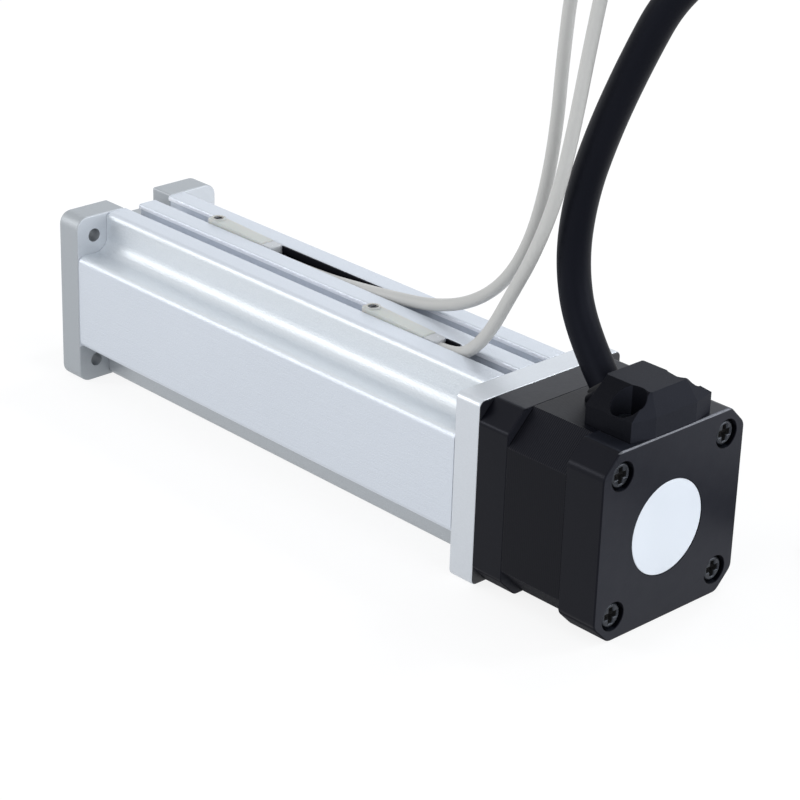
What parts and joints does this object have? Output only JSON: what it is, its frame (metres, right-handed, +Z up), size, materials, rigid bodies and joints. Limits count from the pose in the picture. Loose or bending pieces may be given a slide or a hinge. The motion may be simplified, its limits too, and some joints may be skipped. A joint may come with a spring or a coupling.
{
  "type": "electric cylinder",
  "caption": "Screw-driven electric cylinder: square slotted tube, front flange, sliding rod, stepping motor with cable cover at the rear, and two slot sensors with leads.",
  "frame": {"origin": "centre of the front flange's mounting face, on the rod axis", "axes": "+X the way the rod extends, +Z up through the sensor slots, +Y to the left of a viewer who looks along +X"},
  "size_m": [0.2509, 0.0874, 0.1804],
  "materials": {
    "tube_alloy": "satin anodised",
    "plate_alloy": "satin anodised",
    "housing_alloy": "machined",
    "black_bell": "satin black",
    "lamination": "black coated laminations",
    "steel": "ground steel",
    "dark_steel": "black oxide",
    "chrome_rod": "hard chrome",
    "bronze": "machined bronze",
    "magnet": "sintered",
    "acetal": "smooth",
    "black_plastic": "fine grain",
    "rubber": "matte",
    "winding": "enamelled copper",
    "ivory_plastic": "smooth",
    "clear_tip": "milky",
    "grey_jacket": "smooth",
    "black_jacket": "matte",
    "core": "smooth",
    "white_disc": "blank"
  },
  "bodies": {
    "body": {"adapter_screws": "steel", "bearing_housing": "housing_alloy", "bearing_retainer": "dark_steel", "body_tube": "tube_alloy", "cable_bush": "rubber", "cable_cover": "black_plastic", "cover_screws": "dark_steel", "flange_screws": "steel", "front_bell": "black_bell", "front_bumper": "rubber", "front_flange": "plate_alloy", "motor_bearing_outers": "steel", "motor_cable": "black_jacket", "motor_fixing_screws": "dark_steel", "motor_flange": "plate_alloy", "motor_plug": "black_plastic", "motor_screws": "dark_steel", "rear_bell": "black_bell", "rear_bumper": "rubber", "rear_disc": "white_disc", "rod_bush": "bronze", "rod_wiper": "rubber", "screw_bearing_outers": "steel", "stator_coils": "winding", "stator_stack": "lamination", "wave_washer": "steel"},
    "screw": {"lead_screw": "steel", "lock_nut": "dark_steel", "screw_bearing_inners": "steel", "shaft_coupling": "housing_alloy", "coupling_screws": "dark_steel", "motor_shaft": "steel", "rotor_cups": "lamination", "rotor_magnet": "magnet", "motor_bearing_inners": "steel"},
    "rod": {"push_rod": "chrome_rod", "rod_end": "steel", "nut_carrier": "housing_alloy", "screw_nut": "bronze", "piston_magnet": "magnet", "wear_ring": "acetal", "guide_keys": "acetal"},
    "sensor_1": {"sensor_1_body": "ivory_plastic", "sensor_1_screw": "steel", "sensor_1_tip": "clear_tip", "sensor_1_lead": "grey_jacket", "sensor_1_cores": "core", "sensor_1_liner": "black_plastic"},
    "sensor_2": {"sensor_2_body": "ivory_plastic", "sensor_2_screw": "steel", "sensor_2_tip": "clear_tip", "sensor_2_lead": "grey_jacket", "sensor_2_cores": "core", "sensor_2_liner": "black_plastic"}
  },
  "joints": [
    {"name": "screw_spin", "type": "hinge", "parent": "body", "child": "screw", "pos_m": [-0.11, 0, 0], "axis": [1, 0, 0], "range_deg": [-3000, 0]},
    {"name": "rod_slide", "type": "slide", "parent": "body", "child": "rod", "axis": [1, 0, 0], "range_m": [0, 0.05]},
    {"name": "sensor_1_slide", "type": "slide", "parent": "body", "child": "sensor_1", "axis": [1, 0, 0], "range_m": [-0.003, 0.003]},
    {"name": "sensor_2_slide", "type": "slide", "parent": "body", "child": "sensor_2", "axis": [1, 0, 0], "range_m": [-0.003, 0.003]}
  ],
  "couplings": [
    {"joint": "screw_spin", "follows": "rod_slide", "rad_per_m": -1047.2}
  ]
}
